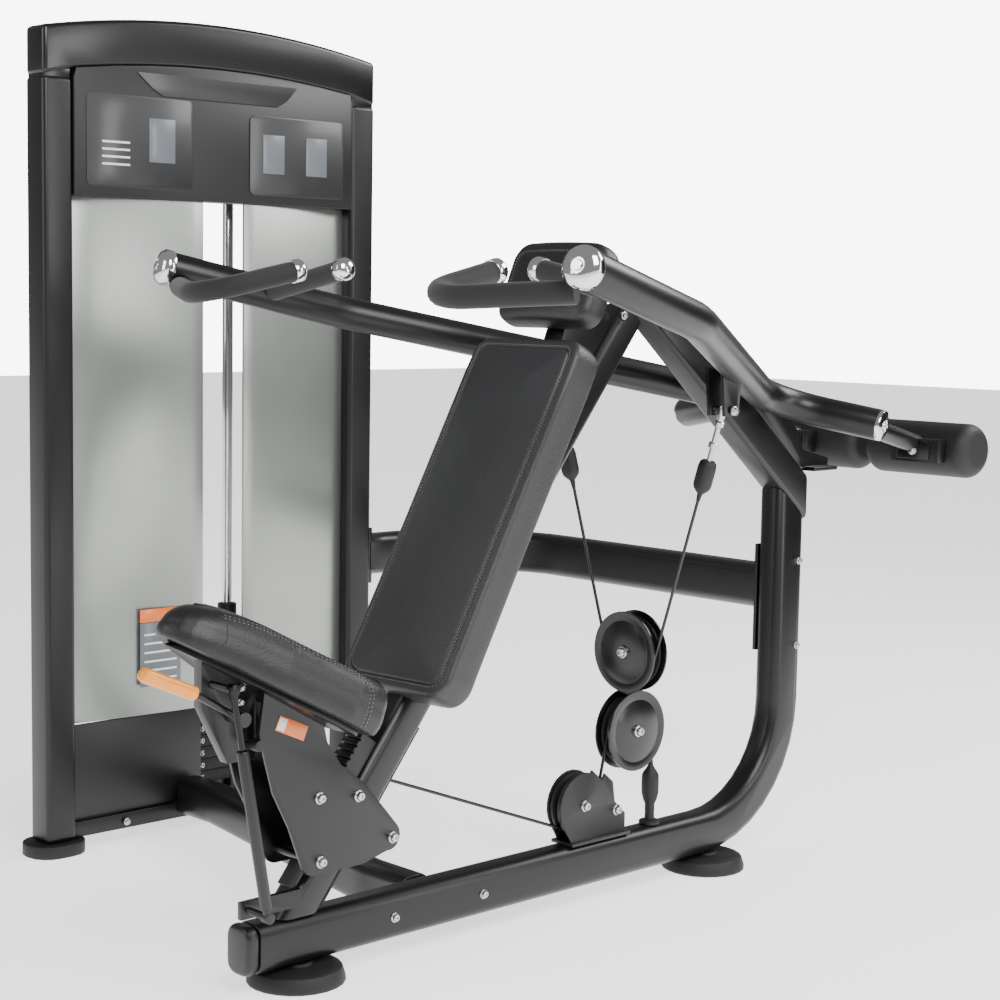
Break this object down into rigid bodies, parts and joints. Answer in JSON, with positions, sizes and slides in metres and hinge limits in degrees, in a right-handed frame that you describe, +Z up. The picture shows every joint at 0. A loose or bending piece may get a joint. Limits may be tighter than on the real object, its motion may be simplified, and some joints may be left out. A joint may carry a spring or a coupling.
{
  "type": "shoulder press machine",
  "caption": "Seated overhead press gym machine: weight stack tower, leaning padded back, sliding sprung seat, counterweighted press arms with grips, and a cable and pulley drive.",
  "frame": {"origin": "on the floor, under the middle of the bounding box", "axes": "+X to the seated user's left, +Y behind the user, +Z up"},
  "size_m": [1.5879, 1.8854, 1.616],
  "materials": {
    "frame_coat": "satin powder coat",
    "chrome": "polished",
    "steel": "zinc plated",
    "rubber": "matte",
    "foam": "matte foam",
    "leather": "grained synthetic leather",
    "black_plastic": "satin",
    "silver_paint": "metallic satin",
    "iron": "painted",
    "cable": "nylon jacket",
    "lever_paint": "gloss"
  },
  "bodies": {
    "root": {"base_frame": "frame_coat", "base_end_cap": "black_plastic", "front_foot": "rubber", "rear_foot": "rubber", "leaning_tube": "frame_coat", "top_brace": "frame_coat", "seat_track": "black_plastic", "rear_track": "black_plastic", "pivot_head": "frame_coat", "lower_cross_tube": "frame_coat", "upper_cross_tube": "frame_coat", "low_pulley_bracket": "black_plastic", "cable_anchor": "rubber", "front_cable": "cable", "block_cable": "cable", "stack_cable": "cable", "back_pad": "leather", "headrest": "leather", "pad_bracket": "frame_coat", "left_column": "frame_coat", "right_column": "frame_coat", "tower_base": "frame_coat", "tower_cap": "black_plastic", "placard_housing": "black_plastic", "left_shroud": "silver_paint", "right_shroud": "silver_paint", "lower_panel": "black_plastic", "guide_rod_front": "chrome", "guide_rod_rear": "chrome", "tower_foot_left": "rubber", "tower_foot_right": "rubber", "resting_plates": "iron"},
    "left_arm": {"left_arm_tube": "frame_coat", "left_arm_dome": "chrome", "left_hub_cap": "chrome", "left_front_grip": "foam", "left_bar_grip": "foam", "left_counterweight": "rubber"},
    "right_arm": {"right_arm_tube": "frame_coat", "right_arm_dome": "chrome", "right_hub_cap": "chrome", "right_front_grip": "foam", "right_bar_grip": "foam", "right_counterweight": "rubber"},
    "left_link": {"left_cable_link": "steel"},
    "right_link": {"right_cable_link": "steel"},
    "pulley_block": {"block_bracket": "black_plastic", "link_cable_wrap": "cable"},
    "block_top_wheel": {"block_top_pulley": "black_plastic"},
    "block_bottom_wheel": {"block_bottom_pulley": "black_plastic"},
    "low_wheel": {"low_pulley": "black_plastic"},
    "top_wheel": {"top_pulley": "black_plastic"},
    "weight_stack": {"lifted_plates": "iron"},
    "selector": {"selector_pin": "steel"},
    "seat": {"seat_pad": "leather", "seat_carriage": "frame_coat"},
    "seat_roller": {"rear_roller": "black_plastic"},
    "lever": {"seat_lever": "lever_paint"},
    "gas_spring_cylinder": {"gas_cylinder": "black_plastic"},
    "gas_spring_rod": {"gas_rod": "steel"}
  },
  "joints": [
    {"name": "left_arm_press", "type": "hinge", "parent": "root", "child": "left_arm", "pos_m": [0.489, 0.579, 0.862], "axis": [-0.9472, -0.2761, 0.163], "range_deg": [0, 38]},
    {"name": "right_arm_press", "type": "hinge", "parent": "root", "child": "right_arm", "pos_m": [0.013, 0.579, 0.862], "axis": [-0.9472, 0.2761, -0.163], "range_deg": [0, 38]},
    {"name": "left_link_swing", "type": "hinge", "parent": "left_arm", "child": "left_link", "pos_m": [0.456, 0.164, 0.9], "axis": [0.838, 0.4774, -0.2642], "range_deg": [-3, 45]},
    {"name": "right_link_swing", "type": "hinge", "parent": "right_arm", "child": "right_link", "pos_m": [0.046, 0.164, 0.9], "axis": [0.838, -0.4774, 0.2642], "range_deg": [-3, 45]},
    {"name": "block_lift", "type": "slide", "parent": "root", "child": "pulley_block", "axis": [0, 0, 1], "range_m": [0, 0.32], "deforming": ["block_cable", "link_cable_wrap"]},
    {"name": "block_top_spin", "type": "hinge", "parent": "pulley_block", "child": "block_top_wheel", "pos_m": [0.251, 0.164, 0.446], "axis": [0, 1, 0], "continuous": true},
    {"name": "block_bottom_spin", "type": "hinge", "parent": "pulley_block", "child": "block_bottom_wheel", "pos_m": [0.251, 0.168, 0.299], "axis": [1, 0, 0], "continuous": true},
    {"name": "low_pulley_spin", "type": "hinge", "parent": "root", "child": "low_wheel", "pos_m": [0.251, 0.031, 0.181], "axis": [1, 0, 0], "continuous": true},
    {"name": "top_pulley_spin", "type": "hinge", "parent": "root", "child": "top_wheel", "pos_m": [-0.741, -0.145, 1.43], "axis": [0, 1, 0], "continuous": true},
    {"name": "stack_lift", "type": "slide", "parent": "root", "child": "weight_stack", "axis": [0, 0, 1], "range_m": [0, 0.64], "deforming": ["stack_cable"]},
    {"name": "selector_pin_pull", "type": "slide", "parent": "weight_stack", "child": "selector", "axis": [1, 0, 0], "range_m": [0, 0.05]},
    {"name": "seat_slide", "type": "slide", "parent": "root", "child": "seat", "axis": [0, 0.6157, 0.788], "range_m": [-0.05, 0.05]},
    {"name": "seat_roller_spin", "type": "hinge", "parent": "seat", "child": "seat_roller", "pos_m": [0.251, -0.459, 0.219], "axis": [1, 0, 0], "continuous": true},
    {"name": "seat_lever_pull", "type": "hinge", "parent": "seat", "child": "lever", "pos_m": [0.311, -0.756, 0.452], "axis": [-1, 0, 0], "range_deg": [0, 10], "stiffness_Nm_per_rad": 2, "springref_deg": -5.73},
    {"name": "gas_spring_tilt", "type": "hinge", "parent": "root", "child": "gas_spring_cylinder", "pos_m": [0.331, -0.723, 0.144], "axis": [1, 0, 0], "range_deg": [-9, 9]},
    {"name": "gas_spring_stroke", "type": "slide", "parent": "gas_spring_cylinder", "child": "gas_spring_rod", "axis": [0, -0.1803, 0.9836], "range_m": [-0.045, 0.045]}
  ],
  "couplings": [
    {"joint": "right_arm_press", "follows": "left_arm_press", "ratio": 1},
    {"joint": "left_link_swing", "follows": "left_arm_press", "ratio": 0.71943},
    {"joint": "right_link_swing", "follows": "left_arm_press", "ratio": 0.71943},
    {"joint": "block_lift", "follows": "left_arm_press", "m_per_rad": 0.37689},
    {"joint": "stack_lift", "follows": "left_arm_press", "m_per_rad": 0.75378},
    {"joint": "gas_spring_tilt", "follows": "seat_slide", "rad_per_m": -2.05},
    {"joint": "gas_spring_stroke", "follows": "seat_slide", "ratio": 0.66}
  ]
}
